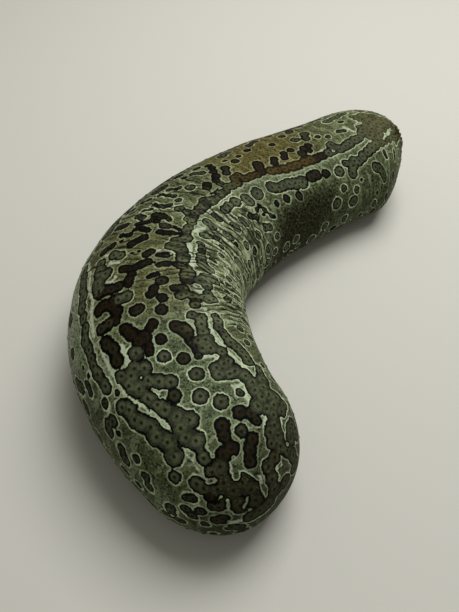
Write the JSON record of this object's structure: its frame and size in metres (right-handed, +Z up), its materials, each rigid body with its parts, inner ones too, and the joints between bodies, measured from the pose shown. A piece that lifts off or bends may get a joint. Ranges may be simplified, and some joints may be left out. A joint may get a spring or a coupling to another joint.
{
  "type": "sea cucumber",
  "caption": "Life-size still model of a leopard sea cucumber, bent in a wide curve on its flat sole, with a blunt mouth end, a puckered vent and short tube feet.",
  "frame": {"origin": "on the floor under the middle of the body's bounding box", "axes": "+Z up; +Y from the mouth end towards the vent end; +X towards the hollow side of the bend"},
  "size_m": [0.2202, 0.3175, 0.0736],
  "materials": {
    "skin": "leathery wet skin, olive grey with ringed brown spots",
    "tentacles": "soft wet flesh, dark brown"
  },
  "bodies": {
    "root": {"anterior_end": "skin", "fore_body": "skin", "mid_body_front": "skin", "mid_body_rear": "skin", "hind_body": "skin", "posterior_end": "skin", "oral_tentacles": "tentacles"}
  },
  "joints": []
}
